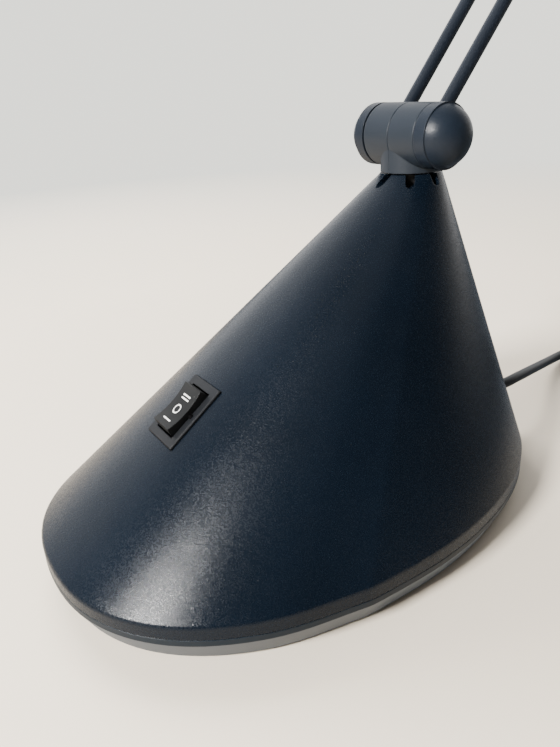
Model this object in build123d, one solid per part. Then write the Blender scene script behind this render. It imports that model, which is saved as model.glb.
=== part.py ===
from build123d import *
import math
import os

# Desk lamp: a hollow cone base that holds the transformer and a three-way switch, a swivelling hub,
# two pairs of thin current-carrying rods with an elbow between them, and a small cone head.
# Millimetres. The front is -Y, the lamp's left is +X, and the origin is on the desk under the swivel.

# Base footprint: half an ellipse behind the widest line and a fuller, blunter nose before it
BASE_FRONT = -186.2
BASE_WIDE = -73.4
BASE_REAR = 54.7
BASE_HALF = 84.7
NOSE_POWER = 2.27
NOSE_POINTS = 16
PAD_T = 1.2
PAN_BELLY_Z = 10.5
PARTING_Z = 13.3
CREASE_Z = 18.4
CREASE_R = 2.0
CONE_TOP_Z = 145.3
CONE_TOP_R = 13.64
WALL = 3.2
SEAM = 0.3
FIT = 0.2
FAR = 200.0
PAN_TAPER = 4.4
PAN_FLOOR = 2.5
PAD_INSET = 10.0
SPIGOT_H = 3.0
SPIGOT_T = 2.0

# Vent slots round the top of each cone
SLOT_COUNT = 8
SLOT_W = 3.8
SLOT_DEPTH = 4.8

# Swivel through the top of the base
TOP_PLATE = 7.0
BUSH_R = 9.2
SWIVEL_R = 7.0
SWIVEL_BORE = 3.2
RUN_FIT = 0.05
STEM_GAP = 0.6
TUBE_LOW = 120.3
TUBE_HIGH = 149.2
COLLAR_R = 9.0
NUT_T = 6.0

# Pivot barrels, shared by the hub, the elbow and the head joint
HUB_Y = -1.2
HUB_Z = 160.7
BARREL_R = 13.42
BARREL_HALF = 15.4
STEM_R = 13.6
SHELL_T = 2.3
SHELL_SEAM = 0.06
SHELL_EDGE = 0.25
WEB_T = 1.6
CAP_RING = 6.2
DOME_IN = 4.05
CAP_T = 2.0
GROOVE_DEEP = 0.9
NEAR_GROOVE = 0.25
FAR_GROOVE = 1.0
AXLE_R = 2.5
AXLE_HEX = 8.0
AXLE_HEAD_T = 3.0
AXLE_NUT_T = 4.0
SPRING_T = 0.8
SPRING_R = 6.0
DRUM_FROM = 2.0
WASHER_X = (1.63, 1.93)
BLOCK_GAP = 0.25

# Arm
ROD_R = 3.0
LOWER_ROD_X = 11.2
UPPER_ROD_X = 4.1
ARM_LENGTH = 330.0
LOWER_LEAN = 39.6
UPPER_RISE = 10.0
SLOT_LEANS = (0.0, 82.0)
ROD_INNER = 4.0

# Head shade, the base's form at a smaller size; heights are below the head joint
HEAD_FRONT = -68.0
HEAD_WIDE = -30.0
HEAD_REAR = 28.0
HEAD_HALF = 36.0
SHADE_TOP = -20.0
SHADE_CREASE = -78.0
SHADE_RIM = -85.0
SHADE_WALL = 2.0
SHADE_PLATE = 4.0
SHADE_VENT_DROP = 2.5
YOKE_FLOOR = -16.0
LAMP_Y = -13.0
BOWL_R = 26.4
BOWL_TOP = -45.0
BOWL_RIM = -78.2
BOWL_T = 0.9
THROAT_R = 6.0
HOLDER_R = 7.0
HOLDER_H = 11.0
CAPSULE_R = 4.4
CAPSULE_PIN_X = 2.0
GLASS_T = 1.8
GLASS_LIP = 2.4
PLATE_T = 2.0

# Rocker switch on the front ridge
SWITCH_DOWN = 0.632
BEZEL_W = 21.9
BEZEL_L = 30.0
BEZEL_UP = 0.6
BEZEL_SEAT = -0.8
SWITCH_W = 19.0
SWITCH_L = 28.2
SWITCH_DEEP = -20.0
WELL_W = 14.3
WELL_L = 22.8
ROCKER_W = 13.5
ROCKER_R = 10.7
ROCKER_TOP = 4.4
ROCKER_DIP = 3.0
ROCKER_LOW = -3.5
PIVOT_R = 1.2
PIVOT_HALF = 8.5
WELL_DEEP = -13.0
SEAT_HALF_W = 14.0
SEAT_HALF_L = 18.0
SEAT_DEEP = -5.0
RECESS_SIDE = 0.4
BLADE_LENGTH = 9.0
BLADE_HALF_W = 3.1
BLADE_HALF_T = 0.4
BLADES_AT = (-8.0, 0.0, 8.0)

# Screws that close the base
PAN_BOSSES = [(38.0, -118.0), (-38.0, -118.0), (30.0, 5.0), (-30.0, 5.0)]
BOSS_R = 4.5
SCREW_R = 1.5
SCREW_HEAD_R = 3.4
SCREW_HEAD_T = 2.3
SCREW_REACH = 11.0
CROSS_HALF_L = 2.2
CROSS_HALF_W = 0.4
CROSS_DEEP = 1.0

# Transformer
CORE_Y = -25.0
CORE_W = 60.0
CORE_STACK = 24.0
CORE_Z0 = 4.0
CORE_H = 50.0
LEG = 10.0
STRAP_T = 1.0
STRAP_HALF = 9.0
STRAP_FOOT = 12.0
FLANGE_T = 1.2
WIRE_R = 1.1
BALLAST_T = 10.0
BALLAST_INSET = 14.0
BALLAST_REAR = -74.0
TERMINAL_H = 10.0
TERMINAL_HALF = 12.0
TERMINAL_Y = (18.0, 32.0)

# Mains lead
CORD_D = 5.6
GLAND_X = 10.5
GLAND_Z = 24.6
GLAND_END_Y = 58.5
GLAND_R = 4.6
GLAND_WALL_Y = 44.5
GLAND_FLANGE = 3.0
ROUTE = [
    (10.5, 58.5, 24.6), (10.5, 67, 24.6), (7.9, 78, 23.4), (3.2, 92, 20.4), (-2.9, 107, 16.4),
    (-9.1, 122, 12.2), (-14.7, 137, 8.6), (-19.2, 152, 5.9), (-22.2, 166, 4.4), (-24.2, 180, 3.8),
    (-29, 197, 3.8), (-36.5, 214, 3.8), (-42.8, 229, 3.8), (-46, 243, 3.8), (-46, 256.4, 3.8),
]
COIL_START = (-46.0, 262.0, 3.8)
COIL_R = 44.0
COIL_PITCH = 6.1
COIL_HALVES = 7
TAIL_LENGTHS = (8.0, 9.0, 9.0)
PLUG_AXIS_Z = 7.0
PLUG_SECTIONS = [(14.0, 6.5, 4.6), (28.0, 12.0, 6.2), (42.0, 17.6, 6.8), (50.0, 17.6, 6.8)]
PIN_SPREAD = 9.3
PIN_LENGTH = 19.0
PIN_R = 2.0
TIE_HALF_W = 4.0
TIE_T = 0.8
TIE_SLACK = 1.4
TIE_UNDER = 0.1
TIE_OVER = 0.6

BASE = (BASE_FRONT, BASE_WIDE, BASE_REAR, BASE_HALF)
HEAD = (HEAD_FRONT, HEAD_WIDE, HEAD_REAR, HEAD_HALF)
LEAN = math.radians(LOWER_LEAN)
RISE = math.radians(UPPER_RISE)
LOWER_DIR = Vector(0, math.sin(LEAN), math.cos(LEAN))
UPPER_DIR = Vector(0, -math.cos(RISE), math.sin(RISE))
HUB = Vector(0, HUB_Y, HUB_Z)
ELBOW = HUB + LOWER_DIR * ARM_LENGTH
HEAD_JOINT = ELBOW + UPPER_DIR * ARM_LENGTH

nodes = {}


def bar(start, end, radius):
    """Round bar between two points."""
    start = Vector(start)
    run = Vector(end) - start
    return extrude(Plane(origin=start, z_dir=run) * Circle(radius), run.length)


def tube(start, end, outer, inner):
    return bar(start, end, outer) - bar(start, end, inner)


def lateral(centre, x_from, x_to, radius):
    """Cylinder along X on a pivot's axis."""
    return bar(centre + Vector(x_from, 0, 0), centre + Vector(x_to, 0, 0), radius)


def block(x, y, z):
    """Box from three (low, high) pairs."""
    size = [high - low for low, high in (x, y, z)]
    middle = [(high + low) / 2 for low, high in (x, y, z)]
    return Pos(*middle) * Box(*size)


def right_copy(shape):
    return mirror(shape, about=Plane.YZ)


def both_sides(shape):
    """A left piece and its mirror image, as separate solids."""
    return Compound(children=[shape, right_copy(shape)])


def egg(outline, z, inset=0.0):
    """Egg outline at height z: half an ellipse behind, a squarer curve for the nose."""
    front, wide, rear, half = outline
    reach = wide - front - inset
    side = half - inset
    back = EllipticalCenterArc((0, wide), side, rear - wide - inset, 0, arc_size=180)
    points = []
    for k in range(NOSE_POINTS + 1):
        angle = math.pi * k / NOSE_POINTS
        across = math.copysign(abs(math.cos(angle)) ** (2 / NOSE_POWER), -math.cos(angle))
        points.append((side * across, wide - reach * math.sin(angle) ** (2 / NOSE_POWER)))
    points[0] = (-side, wide)
    points[-1] = (side, wide)
    nose = Spline(*points, tangents=[(0, -1), (0, 1)])
    return Pos(0, 0, z) * Wire([back, nose])


def ring(radius, z):
    back = CenterArc((0, 0), radius, 0, 180)
    nose = CenterArc((0, 0), radius, 180, 180)
    return Pos(0, 0, z) * Wire([back, nose])


def prism(wire, height):
    return extrude(Face(wire), height, dir=(0, 0, 1))


def cone(outline, z_low, z_high, radius, inset=0.0):
    """Straight-sided skin from an egg below to a circle above."""
    return Part() + Solid.make_loft([egg(outline, z_low, inset), ring(radius, z_high)], ruled=True)


def edges_at(shape, z):
    flat = [e for e in shape.edges() if e.bounding_box().size.Z < 0.01]
    return [e for e in flat if abs(e.center().Z - z) < 0.01]


def vent_slots(top_z, r_in, r_out):
    """U-shaped notches that run down from the rim of a cone's top."""
    centre_z = top_z - SLOT_DEPTH + SLOT_W / 2
    half = SLOT_W / 2
    slot = block((-half, half), (r_in, r_out), (centre_z, top_z + 1))
    slot += bar((0, r_in, centre_z), (0, r_out, centre_z), half)
    turns = [Rot(0, 0, 360 / SLOT_COUNT * k) * slot for k in range(SLOT_COUNT)]
    return Part() + turns


def hexagon(centre, x_from, x_to, across):
    """Hexagonal prism along X."""
    plane = Plane(origin=centre + Vector(x_from, 0, 0), x_dir=(0, 1, 0), z_dir=(1, 0, 0))
    return extrude(plane * RegularPolygon(across / 2, 6, major_radius=False), x_to - x_from)


# Base: housing, pan, pad and screws
def switch_plane():
    """Seat of the switch on the front ridge: local Y climbs the slope, Z points out."""
    toe = Vector(0, BASE_FRONT, CREASE_Z)
    top = Vector(0, -CONE_TOP_R, CONE_TOP_Z)
    across = Vector(1, 0, 0)
    outward = across.cross((top - toe).normalized())
    return Plane(origin=top + (toe - top) * SWITCH_DOWN, x_dir=across, z_dir=outward)


def base_skin():
    skin = prism(egg(BASE, PARTING_Z), CREASE_Z - PARTING_Z)
    skin += cone(BASE, CREASE_Z, CONE_TOP_Z, CONE_TOP_R)
    return fillet(edges_at(skin, CREASE_Z), CREASE_R)


def base_housing():
    skin = base_skin()
    plate_z = CONE_TOP_Z - TOP_PLATE
    hollow = cone(BASE, CREASE_Z, CONE_TOP_Z, CONE_TOP_R - WALL, WALL)
    hollow -= block((-FAR, FAR), (-FAR, FAR), (plate_z, FAR))
    hollow += prism(egg(BASE, PARTING_Z, WALL), CREASE_Z - PARTING_Z)
    shell = skin - hollow
    for x, y in PAN_BOSSES:
        shell += bar((x, y, PARTING_Z), (x, y, CONE_TOP_Z), BOSS_R) & skin
    seat_w = (-SEAT_HALF_W, SEAT_HALF_W)
    seat_l = (-SEAT_HALF_L, SEAT_HALF_L)
    shell += SWITCH * block(seat_w, seat_l, (SEAT_DEEP, BEZEL_UP)) & skin
    recess_w = BEZEL_W / 2 + RECESS_SIDE
    recess_l = BEZEL_L / 2 + FIT
    shell -= SWITCH * block((-recess_w, recess_w), (-recess_l, recess_l), (BEZEL_SEAT, 6))
    cut_w = SWITCH_W / 2 + FIT / 2
    cut_l = SWITCH_L / 2 + FIT / 2
    shell -= SWITCH * block((-cut_w, cut_w), (-cut_l, cut_l), (-30, 6))
    shell -= bar((0, 0, plate_z - 1), (0, 0, CONE_TOP_Z + 1), BUSH_R)
    shell -= vent_slots(CONE_TOP_Z, BUSH_R - 0.5, FAR)
    shell -= bar((GLAND_X, GLAND_WALL_Y - 10, GLAND_Z), (GLAND_X, FAR, GLAND_Z), GLAND_R)
    for x, y in PAN_BOSSES:
        shell -= bar((x, y, 0), (x, y, PARTING_Z + SCREW_REACH + 1), SCREW_R)
    return shell


def base_pan():
    foot = egg(BASE, PAD_T, PAN_TAPER)
    pan = Part() + Solid.make_loft([foot, egg(BASE, PAN_BELLY_Z)], ruled=True)
    pan += prism(egg(BASE, PAN_BELLY_Z), PARTING_Z - SEAM - PAN_BELLY_Z)
    spigot = WALL + FIT
    pan += prism(egg(BASE, PARTING_Z - SEAM, spigot), SPIGOT_H)
    pan -= prism(egg(BASE, PAN_TOP, spigot + SPIGOT_T), FAR)
    for x, y in PAN_BOSSES:
        pan += bar((x, y, PAN_TOP), (x, y, PARTING_Z), BOSS_R)
        pan -= bar((x, y, 0), (x, y, FAR), SCREW_R + FIT)
        pan -= bar((x, y, 0), (x, y, PAN_TOP), SCREW_HEAD_R + FIT)
    for x, y in FLOOR_SCREWS:
        pan -= bar((x, y, PAN_TOP - 1.6), (x, y, PAN_TOP), SCREW_R)
    return pan


def base_pad():
    pad = prism(egg(BASE, 0, PAD_INSET), PAD_T)
    for x, y in PAN_BOSSES:
        pad -= bar((x, y, -1), (x, y, PAD_T + 1), SCREW_HEAD_R + 1)
    return pad


def pan_screws():
    head_z = PAN_TOP - SCREW_HEAD_T
    screws = []
    for x, y in PAN_BOSSES:
        screw = bar((x, y, head_z), (x, y, PAN_TOP), SCREW_HEAD_R)
        screw += bar((x, y, PAN_TOP), (x, y, PARTING_Z + SCREW_REACH), SCREW_R)
        for half_x, half_y in ((CROSS_HALF_L, CROSS_HALF_W), (CROSS_HALF_W, CROSS_HALF_L)):
            slot = block((-half_x, half_x), (-half_y, half_y), (head_z, head_z + CROSS_DEEP))
            screw -= Pos(x, y, 0) * slot
        screws.append(screw)
    return Compound(children=screws)


def floor_screw(x, y, seat_z):
    head = bar((x, y, seat_z), (x, y, seat_z + SCREW_HEAD_T), SCREW_HEAD_R)
    return head + bar((x, y, PAN_TOP - 1.5), (x, y, seat_z), SCREW_R)


def ballast_plate():
    plate = prism(egg(BASE, PAN_TOP, BALLAST_INSET), BALLAST_T)
    plate -= block((-FAR, FAR), (BALLAST_REAR, FAR), (0, FAR))
    for x, y in PAN_BOSSES:
        plate -= bar((x, y, 0), (x, y, FAR), BOSS_R + 1.5)
    for x, y in BALLAST_SCREWS:
        plate -= bar((x, y, 0), (x, y, FAR), SCREW_R + FIT)
    return plate


# Transformer: laminated core, bobbin, two windings and a strap
def transformer_core():
    half = CORE_W / 2
    stack = (CORE_Y - CORE_STACK / 2, CORE_Y + CORE_STACK / 2)
    core = block((-half, half), stack, (CORE_Z0, CORE_Z0 + CORE_H))
    window_z = (CORE_Z0 + LEG, CORE_Z0 + CORE_H - LEG)
    core -= block((LEG, half - LEG), stack, window_z)
    core -= block((LEG - half, -LEG), stack, window_z)
    return core


def square_ring(outer, inner, z):
    """Rectangular sleeve round the core's middle leg, from half sizes in X and Y."""
    sleeves = [block((-x, x), (CORE_Y - y, CORE_Y + y), z) for x, y in (outer, inner)]
    return sleeves[0] - sleeves[1]


def transformer_bobbin():
    low = CORE_Z0 + LEG + FIT / 2
    high = CORE_Z0 + CORE_H - LEG - FIT / 2
    bobbin = square_ring(FORMER, LEG_HOLE, (low, high))
    middle = (low + high) / 2
    for z in (low, middle - FLANGE_T / 2, high - FLANGE_T):
        bobbin += square_ring(FLANGE, LEG_HOLE, (z, z + FLANGE_T))
    return bobbin


def winding(z):
    return square_ring(COIL_PACK, FORMER, z)


def transformer_strap():
    half = CORE_W / 2
    outer = half + STRAP_T
    foot = outer + STRAP_FOOT
    along = (CORE_Y - STRAP_HALF, CORE_Y + STRAP_HALF)
    top = CORE_Z0 + CORE_H
    strap = block((-foot, foot), along, (PAN_TOP, PAN_TOP + STRAP_T))
    strap += block((-outer, outer), along, (PAN_TOP, top + STRAP_T))
    strap -= block((-half, half), along, (0, top))
    for x, y in STRAP_SCREWS:
        strap -= bar((x, y, 0), (x, y, PAN_TOP + 2 * STRAP_T), SCREW_R + FIT)
    return strap


def terminal_block():
    """Two-way block: a screw well above each way and a wire hole through it."""
    wide = (GLAND_X - TERMINAL_HALF, GLAND_X + TERMINAL_HALF)
    body = block(wide, TERMINAL_Y, (PAN_TOP, PAN_TOP + TERMINAL_H))
    middle = sum(TERMINAL_Y) / 2
    wire_z = PAN_TOP + 4
    for x in (GLAND_X - 7.5, GLAND_X + 7.5):
        body -= bar((x, middle, wire_z + 2), (x, middle, FAR), 2.2)
        body -= bar((x, TERMINAL_Y[0] - 1, wire_z), (x, TERMINAL_Y[1] + 1, wire_z), 1.4)
    return body


def round_wire(points, radius, bend):
    path = FilletPolyline(*points, radius=bend)
    section = Plane(origin=path @ 0, z_dir=path % 0) * Circle(radius)
    return sweep(section, path=path)


# Rocker switch
def switch_frame():
    half_w = BEZEL_W / 2
    half_l = BEZEL_L / 2
    bezel = block((-half_w, half_w), (-half_l, half_l), (BEZEL_SEAT, BEZEL_UP))
    bezel = chamfer(bezel.faces().sort_by(Axis.Z)[-1].edges(), 0.4)
    can_w = (-SWITCH_W / 2, SWITCH_W / 2)
    can_l = (-SWITCH_L / 2, SWITCH_L / 2)
    frame = bezel + block(can_w, can_l, (SWITCH_DEEP, BEZEL_SEAT))
    frame -= block((-WELL_W / 2, WELL_W / 2), (-WELL_L / 2, WELL_L / 2), (WELL_DEEP, FAR))
    frame -= bar((-PIVOT_HALF, 0, 0), (PIVOT_HALF, 0, 0), PIVOT_R)
    return SWITCH * frame


def rocker():
    """Dished rocker, round-ended about its pivot so that it turns inside the well."""
    top_y = math.sqrt(ROCKER_R**2 - ROCKER_TOP**2)
    low_y = math.sqrt(ROCKER_R**2 - ROCKER_LOW**2)
    dish = ThreePointArc((-top_y, ROCKER_TOP), (0, ROCKER_DIP), (top_y, ROCKER_TOP))
    nose = ThreePointArc((top_y, ROCKER_TOP), (ROCKER_R, 0), (low_y, ROCKER_LOW))
    under = Line((low_y, ROCKER_LOW), (-low_y, ROCKER_LOW))
    tail = ThreePointArc((-low_y, ROCKER_LOW), (-ROCKER_R, 0), (-top_y, ROCKER_TOP))
    side = Plane.YZ * Face(Wire([dish, nose, under, tail]))
    body = Pos(-ROCKER_W / 2, 0, 0) * extrude(side, ROCKER_W, dir=(1, 0, 0))
    body -= bar((-PIVOT_HALF, 0, 0), (PIVOT_HALF, 0, 0), PIVOT_R + RUN_FIT)
    return SWITCH * body


def switch_terminals():
    wide = (-BLADE_HALF_W, BLADE_HALF_W)
    long = (SWITCH_DEEP - BLADE_LENGTH, SWITCH_DEEP)
    blades = [block(wide, (y - BLADE_HALF_T, y + BLADE_HALF_T), long) for y in BLADES_AT]
    return SWITCH * Compound(children=blades)


# Mains lead: gland, free run, coil, tail, tie and plug
def cord_gland():
    inside = Vector(GLAND_X, GLAND_WALL_Y - GLAND_FLANGE, GLAND_Z)
    wall = Vector(GLAND_X, GLAND_WALL_Y, GLAND_Z)
    end = Vector(GLAND_X, GLAND_END_Y, GLAND_Z)
    gland = bar(wall, end, GLAND_R)
    gland = chamfer(gland.faces().sort_by(Axis.Y)[-1].edges(), 1.2)
    gland += bar(inside, wall, GLAND_R + 2)
    return gland - bar(inside, end, CORD_D / 2 + RUN_FIT)


def corner_radii(points):
    """Largest tangent arcs that a route's runs allow."""
    radii = []
    for before, here, after in zip(points, points[1:], points[2:]):
        first = Vector(here) - Vector(before)
        second = Vector(after) - Vector(here)
        half_turn = math.radians(first.get_angle(second)) / 2
        radii.append(0.45 * min(first.length, second.length) / math.tan(half_turn))
    return radii


def cord_tube(name, points):
    radii = corner_radii(points)
    path = FilletPolyline(*points, radius=radii)
    lead = sweep(Plane(origin=path @ 0, z_dir=path % 0) * Circle(CORD_D / 2), path=path)
    share = lead.volume / (math.pi * CORD_D**2 / 4 * path.length)
    print(name, "length", round(path.length, 1), "volume share", round(share, 4))
    print(name, "radii", [round(radius) for radius in radii])
    return lead


def coil_arcs():
    """Half turns that spiral in on the desk, climb one layer and spiral out again."""
    x, y, z = COIL_START
    step = COIL_PITCH / 2
    radii = [COIL_R - step * k for k in range(COIL_HALVES)]
    climb = radii[-1] - step
    halves = [(radius, 0) for radius in radii]
    halves += [(climb, COIL_PITCH)]
    halves += [(radius, 0) for radius in radii[::-1]]
    side = 1
    arcs = []
    for radius, rise in halves:
        end = (x + side * 2 * radius, y, z + rise)
        crown = (x + side * radius, y + side * math.hypot(radius, rise / 2), z + rise / 2)
        arcs.append(ThreePointArc((x, y, z), crown, end))
        x, y, z = end
        side = -side
    return arcs, Vector(x, y, z)


def least_gap(arcs):
    """Smallest clear distance between stretches of the coil that aren't neighbours along it."""
    steps = 40
    points = [arc @ (k / steps) for arc in arcs for k in range(steps)]
    spans = [arc.length / steps for arc in arcs for k in range(steps)]
    along = [sum(spans[:k]) for k in range(len(spans))]
    best = 1000.0
    for i, first in enumerate(points):
        for j in range(i + 1, len(points)):
            if along[j] - along[i] > 4 * CORD_D:
                best = min(best, (first - points[j]).length)
    return best - CORD_D


def cord_coil(arcs, finish):
    start = Vector(COIL_START)
    lead_in = Line(start - Vector(0, CORD_D, 0), start)
    lead_out = Line(finish, finish - Vector(0, CORD_D, 0))
    path = Wire([lead_in] + arcs + [lead_out])
    section = Plane(origin=start - Vector(0, CORD_D, 0), z_dir=(0, 1, 0)) * Circle(CORD_D / 2)
    coil = sweep(section, path=path)
    share = coil.volume / (math.pi * CORD_D**2 / 4 * path.length)
    print("coil length", round(path.length, 1), "volume share", round(share, 4))
    print("coil least gap", round(least_gap(arcs), 2))
    return coil


def cord_tie():
    """Flat strap closed round the turns on the coil's far side."""
    x, y, z = COIL_START
    middle_x = x + COIL_R + COIL_PITCH / 2
    reach = CORD_D / 2 + TIE_SLACK
    near = y + COIL_R - COIL_PITCH * 3 - reach
    far = y + COIL_R + reach
    low = z - CORD_D / 2 - TIE_UNDER
    top = z + COIL_PITCH + CORD_D / 2 + TIE_OVER
    wide = (middle_x - TIE_HALF_W, middle_x + TIE_HALF_W)
    outer = block(wide, (near - TIE_T, far + TIE_T), (low - TIE_T, top + TIE_T))
    inner = block((-FAR, FAR), (near, far), (low, top))
    strap = fillet(outer.edges().filter_by(Axis.X), 2.5)
    return strap - fillet(inner.edges().filter_by(Axis.X), 1.7)


def plug_body(tip):
    """Flat two-pin plug: a waisted body and a tapered relief towards the lead."""
    x, y, z = tip
    sections = []
    for back, half_w, half_h in PLUG_SECTIONS:
        plane = Plane(origin=(x, y - back, z), x_dir=(1, 0, 0), z_dir=(0, -1, 0))
        sections.append(plane * RectangleRounded(half_w * 2, half_h * 2, half_h * 0.6))
    relief = Plane(origin=(x, y, z), z_dir=(0, -1, 0))
    neck = loft([relief * Circle(3.6), relief.offset(20) * Circle(4.6)])
    return loft(sections, ruled=True) + neck


def plug_pins(tip):
    x, y, z = tip
    face = y - PLUG_SECTIONS[-1][0]
    pins = []
    for side in (-PIN_SPREAD, PIN_SPREAD):
        pin = bar((x + side, face, z), (x + side, face - PIN_LENGTH, z), PIN_R)
        pins.append(fillet(pin.faces().sort_by(Axis.Y)[0].edges(), 1.2))
    return Compound(children=pins)


# Swivel and hub
def swivel_bush():
    plate_z = CONE_TOP_Z - TOP_PLATE
    bush = bar((0, 0, plate_z), (0, 0, CONE_TOP_Z), BUSH_R)
    bush += bar((0, 0, plate_z - 2), (0, 0, plate_z), BUSH_R + 2.4)
    return bush - bar((0, 0, 0), (0, 0, FAR), SWIVEL_R + RUN_FIT)


def swivel_tube():
    """Threaded tube with a collar that rests on the bush."""
    stem = bar((0, 0, TUBE_LOW), (0, 0, TUBE_HIGH), SWIVEL_R)
    stem += bar((0, 0, CONE_TOP_Z + FIT / 2), (0, 0, CONE_TOP_Z + STEM_GAP), COLLAR_R)
    return stem - bar((0, 0, 0), (0, 0, FAR), SWIVEL_BORE)


def swivel_nut():
    outline = Plane.XY.offset(NUT_Z - NUT_T) * RegularPolygon(COLLAR_R, 6, major_radius=False)
    return extrude(outline, NUT_T) - bar((0, 0, 0), (0, 0, FAR), SWIVEL_R)


def hub_shell():
    """Left half-shell: half the stem and half the barrel, with a slot behind for the rod."""
    barrel = lateral(HUB, SHELL_SEAM, BARREL_HALF, BARREL_R)
    barrel = chamfer(barrel.edges().filter_by(GeomType.CIRCLE), SHELL_EDGE)
    stem = bar((0, 0, CONE_TOP_Z + STEM_GAP), (0, 0, HUB_Z), STEM_R)
    shell = barrel + (stem & block((SHELL_SEAM, FAR), (-FAR, FAR), (0, FAR)))
    shell -= lateral(HUB, WEB_T, FAR, BARREL_R - SHELL_T)
    shell -= lateral(HUB, 0, WEB_T, AXLE_R)
    shell -= bar((0, 0, 0), (0, 0, TUBE_HIGH + FIT), SWIVEL_R)
    first, last = [math.radians(lean) for lean in SLOT_LEANS]
    reach = 3 * BARREL_R
    wedge = [(reach * math.sin(a), reach * math.cos(a)) for a in (first, (first + last) / 2, last)]
    outline = Face(Wire.make_polygon([(0, 0)] + wedge))
    sector = Plane(origin=HUB, x_dir=(0, 1, 0), z_dir=(1, 0, 0)) * outline
    return shell - Pos(LOWER_ROD_X - ROD_R - 0.5, 0, 0) * extrude(sector, FAR, dir=(1, 0, 0))


def pivot_cap(centre, groove):
    """Domed end cap: a short ring, then a ball that sinks a little into it."""
    start = BARREL_HALF
    edge = start + groove
    crease = start + CAP_RING
    ball = crease - DOME_IN
    inner = BARREL_R - CAP_T
    crease_r = math.sqrt(BARREL_R**2 - DOME_IN**2)
    slant = math.sqrt(0.5)
    floor = BARREL_R - GROOVE_DEEP
    rim = Polyline(
        (start, inner), (start, floor), (edge, floor), (edge, BARREL_R), (crease, BARREL_R), (crease, crease_r)
    )
    shoulder = (ball + BARREL_R * slant, BARREL_R * slant)
    dome = [
        ThreePointArc((crease, crease_r), shoulder, (ball + BARREL_R, 0)),
        Line((ball + BARREL_R, 0), (ball + inner, 0)),
        ThreePointArc((ball + inner, 0), (ball + inner * slant, inner * slant), (ball, inner)),
        Line((ball, inner), (start, inner)),
    ]
    profile = Wire(list(rim.edges()) + dome)
    side = Plane(origin=centre, x_dir=(1, 0, 0), z_dir=(0, -1, 0)) * Face(profile)
    return revolve(side, Axis(centre, (1, 0, 0)))


def pivot_drum():
    """Friction drum inside the hub, which carries the foot of a rod."""
    drum = lateral(HUB, DRUM_FROM, BARREL_HALF - BLOCK_GAP, DRUM_R)
    drum -= lateral(HUB, 0, BARREL_HALF, AXLE_R + RUN_FIT)
    foot = HUB + Vector(LOWER_ROD_X, 0, 0)
    return drum - bar(foot + LOWER_DIR * ROD_INNER, foot + LOWER_DIR * BARREL_R, ROD_R)


def axle(centre, out):
    bolt = lateral(centre, -out, out + AXLE_NUT_T + 0.4, AXLE_R)
    return bolt + hexagon(centre, -out - AXLE_HEAD_T, -out, AXLE_HEX)


def axle_nut(centre, out):
    nut = hexagon(centre, out, out + AXLE_NUT_T, AXLE_HEX)
    return nut - lateral(centre, 0, FAR, AXLE_R)


def disc_springs(centre, start):
    """Pair of dished washers that press the joint together."""
    discs = []
    for k in range(2):
        x = start + SPRING_T * k
        disc = lateral(centre, x, x + SPRING_T, SPRING_R - k)
        discs.append(disc - lateral(centre, 0, FAR, AXLE_R))
    return Compound(children=discs)


# Arm
def rod(centre, x, direction, length):
    foot = centre + Vector(x, 0, 0)
    return bar(foot + direction * ROD_INNER, foot + direction * (length - ROD_INNER), ROD_R)


def rod_block(centre, x_from, x_to, rod_x, direction, bore):
    """Barrel slice that grips the end of one rod."""
    slice_ = lateral(centre, x_from, x_to, BARREL_R)
    slice_ = chamfer(slice_.edges().filter_by(GeomType.CIRCLE), SHELL_EDGE)
    slice_ -= lateral(centre, x_from - 1, x_to + 1, bore)
    foot = centre + Vector(rod_x, 0, 0)
    return slice_ - bar(foot + direction * ROD_INNER, foot + direction * 2 * BARREL_R, ROD_R)


def insulator(centre):
    disc = lateral(centre, -INNER_FROM, INNER_FROM, BARREL_R - FIT)
    return disc - lateral(centre, -INNER_FROM, INNER_FROM, AXLE_R + RUN_FIT)


# Head
def head_yoke():
    stem = bar(HEAD_JOINT + Vector(0, 0, SHADE_TOP), HEAD_JOINT, STEM_R)
    ears = lateral(HEAD_JOINT, -BARREL_HALF, BARREL_HALF, BARREL_R)
    x, y, z = HEAD_JOINT
    yoke = stem + ears
    yoke -= block((x - OUTER_FROM, x + OUTER_FROM), (y - FAR, y + FAR), (z + YOKE_FLOOR, z + FAR))
    yoke -= lateral(HEAD_JOINT, -BARREL_HALF, BARREL_HALF, AXLE_R)
    return yoke - bar((x, y, z + SHADE_TOP), (x, y, z), SWIVEL_BORE)


def head_shade():
    skin = prism(egg(HEAD, SHADE_RIM), SHADE_CREASE - SHADE_RIM)
    skin += cone(HEAD, SHADE_CREASE, SHADE_TOP, CONE_TOP_R)
    hollow = cone(HEAD, SHADE_CREASE, SHADE_TOP, CONE_TOP_R - SHADE_WALL, SHADE_WALL)
    hollow -= block((-FAR, FAR), (-FAR, FAR), (SHADE_TOP - SHADE_PLATE, FAR))
    hollow += prism(egg(HEAD, SHADE_RIM, SHADE_WALL), SHADE_CREASE - SHADE_RIM)
    shade = skin - hollow - bar((0, 0, -FAR), (0, 0, 0), SWIVEL_BORE)
    shade -= vent_slots(SHADE_TOP - SHADE_VENT_DROP, COLLAR_R, FAR)
    return Pos(*HEAD_JOINT) * shade


def reflector_plate():
    plate = prism(egg(HEAD, BOWL_RIM - PLATE_T, SHADE_WALL + FIT), PLATE_T)
    return Pos(*HEAD_JOINT) * (plate - bar((0, LAMP_Y, -FAR), (0, LAMP_Y, 0), BOWL_R + FIT))


def reflector():
    """Parabolic bowl with a rim that lies on the plate."""
    bowl = bowl_section(0.0) - bowl_section(BOWL_T)
    rim = tube((0, LAMP_Y, BOWL_RIM), (0, LAMP_Y, BOWL_RIM + BOWL_T), BOWL_R + 2.2, BOWL_R - BOWL_T)
    return Pos(*HEAD_JOINT) * (bowl + rim)


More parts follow.
